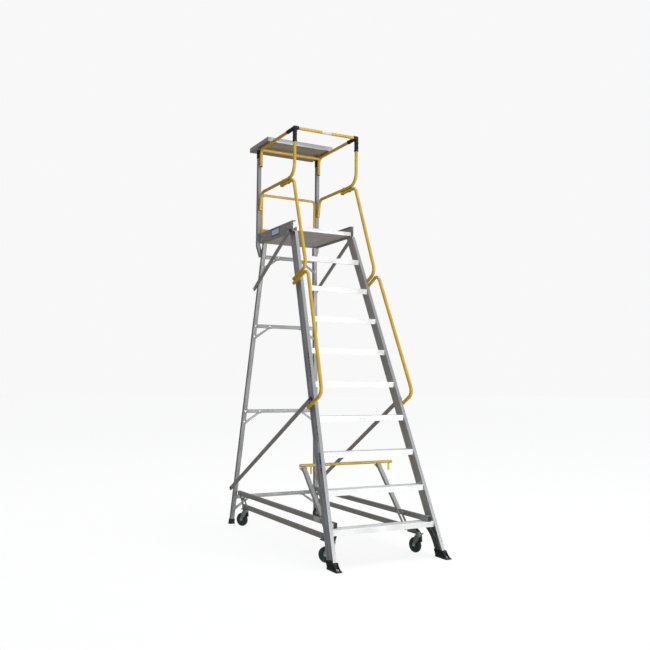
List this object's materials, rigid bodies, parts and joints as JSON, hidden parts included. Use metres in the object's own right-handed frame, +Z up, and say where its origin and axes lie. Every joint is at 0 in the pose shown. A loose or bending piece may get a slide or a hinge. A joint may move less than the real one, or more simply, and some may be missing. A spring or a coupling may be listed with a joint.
{
  "type": "mobile ladder stand",
  "caption": "Tapered aluminium ladder stand with wide treads, a guarded platform with a work tray, yellow handrails and a lever that lowers swivel castors.",
  "frame": {"origin": "on the floor at the middle of the footprint, midway between the front feet's toes and the rear feet's heels", "axes": "+Z is up, +Y is the way a climber faces, from the foot of the treads to the rear legs, and +X is to the climber's right"},
  "size_m": [1.043, 2.272, 3.764],
  "materials": {
    "aluminium": "mill-finished extruded aluminium, lightly brushed along its length",
    "tread_aluminium": "bright ribbed aluminium",
    "yellow_paint": "semi-gloss yellow powder coat",
    "black_plastic": "moulded black plastic with a fine grain",
    "foot_rubber": "matt black rubber",
    "wheel_rubber": "dark grey rubber tyre on a dark plastic disc",
    "zinc_steel": "zinc-plated pressed steel with a dull green-grey cast"
  },
  "bodies": {
    "frame": {"base_rail_left": "aluminium", "base_rail_right": "aluminium", "corner_connector_left": "black_plastic", "corner_connector_right": "black_plastic", "front_foot_left": "foot_rubber", "front_foot_right": "foot_rubber", "front_stile_left": "aluminium", "front_stile_right": "aluminium", "front_top_rail": "yellow_paint", "guard_loop_left": "yellow_paint", "guard_loop_right": "yellow_paint", "guard_post_left": "aluminium", "guard_post_right": "aluminium", "lower_handrail_left": "yellow_paint", "lower_handrail_right": "yellow_paint", "lower_side_brace_left": "aluminium", "lower_side_brace_right": "aluminium", "mid_rail": "yellow_paint", "platform_deck": "tread_aluminium", "platform_side_plate_left": "aluminium", "platform_side_plate_right": "aluminium", "rear_crossbar_1": "aluminium", "rear_crossbar_2": "aluminium", "rear_crossbar_3": "aluminium", "rear_crossbar_4": "aluminium", "rear_foot_left": "foot_rubber", "rear_foot_right": "foot_rubber", "rear_leg_left": "aluminium", "rear_leg_right": "aluminium", "toe_board": "yellow_paint", "top_rail_frame": "yellow_paint", "tread_1": "tread_aluminium", "tread_2": "tread_aluminium", "tread_3": "tread_aluminium", "tread_4": "tread_aluminium", "tread_5": "tread_aluminium", "tread_6": "tread_aluminium", "tread_7": "tread_aluminium", "tread_8": "tread_aluminium", "tread_9": "tread_aluminium", "upper_handrail_left": "yellow_paint", "upper_handrail_right": "yellow_paint", "upper_side_brace_left": "aluminium", "upper_side_brace_right": "aluminium", "work_tray": "aluminium"},
    "lever": {"lever_bar": "yellow_paint", "lever_arm_right": "aluminium", "lever_arm_left": "aluminium"},
    "rear_link_right": {"rear_link_right": "zinc_steel"},
    "castor_rail_right": {"castor_rail_right": "aluminium"},
    "rear_link_left": {"rear_link_left": "zinc_steel"},
    "castor_rail_left": {"castor_rail_left": "aluminium"},
    "castor_fork_front_right": {"castor_fork_front_right": "zinc_steel"},
    "castor_wheel_front_right": {"castor_wheel_front_right": "wheel_rubber"},
    "castor_fork_front_left": {"castor_fork_front_left": "zinc_steel"},
    "castor_wheel_front_left": {"castor_wheel_front_left": "wheel_rubber"},
    "castor_fork_rear_right": {"castor_fork_rear_right": "zinc_steel"},
    "castor_wheel_rear_right": {"castor_wheel_rear_right": "wheel_rubber"},
    "castor_fork_rear_left": {"castor_fork_rear_left": "zinc_steel"},
    "castor_wheel_rear_left": {"castor_wheel_rear_left": "wheel_rubber"}
  },
  "joints": [
    {"name": "lever_swing", "type": "hinge", "parent": "frame", "child": "lever", "pos_m": [0, -0.627, 0.302], "axis": [1, 0, 0], "range_deg": [0, 40]},
    {"name": "castor_rail_right_hinge", "type": "hinge", "parent": "lever", "child": "castor_rail_right", "pos_m": [0.386, -0.73975, 0.1886], "axis": [1, 0, 0], "range_deg": [-40, 0]},
    {"name": "rear_link_right_hinge", "type": "hinge", "parent": "frame", "child": "rear_link_right", "pos_m": [0.4095, 1.003, 0.302], "axis": [1, 0, 0], "range_deg": [0, 40]},
    {"name": "castor_rail_left_hinge", "type": "hinge", "parent": "lever", "child": "castor_rail_left", "pos_m": [-0.386, -0.73975, 0.1886], "axis": [1, 0, 0], "range_deg": [-40, 0]},
    {"name": "rear_link_left_hinge", "type": "hinge", "parent": "frame", "child": "rear_link_left", "pos_m": [-0.4095, 1.003, 0.302], "axis": [1, 0, 0], "range_deg": [0, 40]},
    {"name": "castor_swivel_front_right", "type": "hinge", "parent": "castor_rail_right", "child": "castor_fork_front_right", "pos_m": [0.4095, -0.842, 0.15], "axis": [0, 0, 1], "continuous": true},
    {"name": "castor_spin_front_right", "type": "hinge", "parent": "castor_fork_front_right", "child": "castor_wheel_front_right", "pos_m": [0.40118, -0.80287, 0.0665], "axis": [0.9781, 0.2079, 0], "continuous": true},
    {"name": "castor_swivel_front_left", "type": "hinge", "parent": "castor_rail_left", "child": "castor_fork_front_left", "pos_m": [-0.4095, -0.842, 0.15], "axis": [0, 0, 1], "continuous": true},
    {"name": "castor_spin_front_left", "type": "hinge", "parent": "castor_fork_front_left", "child": "castor_wheel_front_left", "pos_m": [-0.43413, -0.81048, 0.0665], "axis": [0.788, 0.6157, 0], "continuous": true},
    {"name": "castor_swivel_rear_right", "type": "hinge", "parent": "castor_rail_right", "child": "castor_fork_rear_right", "pos_m": [0.4095, 0.886, 0.15], "axis": [0, 0, 1], "continuous": true},
    {"name": "castor_spin_rear_right", "type": "hinge", "parent": "castor_fork_rear_right", "child": "castor_wheel_rear_right", "pos_m": [0.39582, 0.92359, 0.0665], "axis": [0.9397, 0.342, 0], "continuous": true},
    {"name": "castor_swivel_rear_left", "type": "hinge", "parent": "castor_rail_left", "child": "castor_fork_rear_left", "pos_m": [-0.4095, 0.886, 0.15], "axis": [0, 0, 1], "continuous": true},
    {"name": "castor_spin_rear_left", "type": "hinge", "parent": "castor_fork_rear_left", "child": "castor_wheel_rear_left", "pos_m": [-0.4295, 0.92064, 0.0665], "axis": [0.866, 0.5, 0], "continuous": true}
  ],
  "couplings": [
    {"joint": "castor_rail_right_hinge", "follows": "lever_swing", "ratio": -1},
    {"joint": "rear_link_right_hinge", "follows": "lever_swing", "ratio": 1},
    {"joint": "castor_rail_left_hinge", "follows": "lever_swing", "ratio": -1},
    {"joint": "rear_link_left_hinge", "follows": "lever_swing", "ratio": 1}
  ]
}
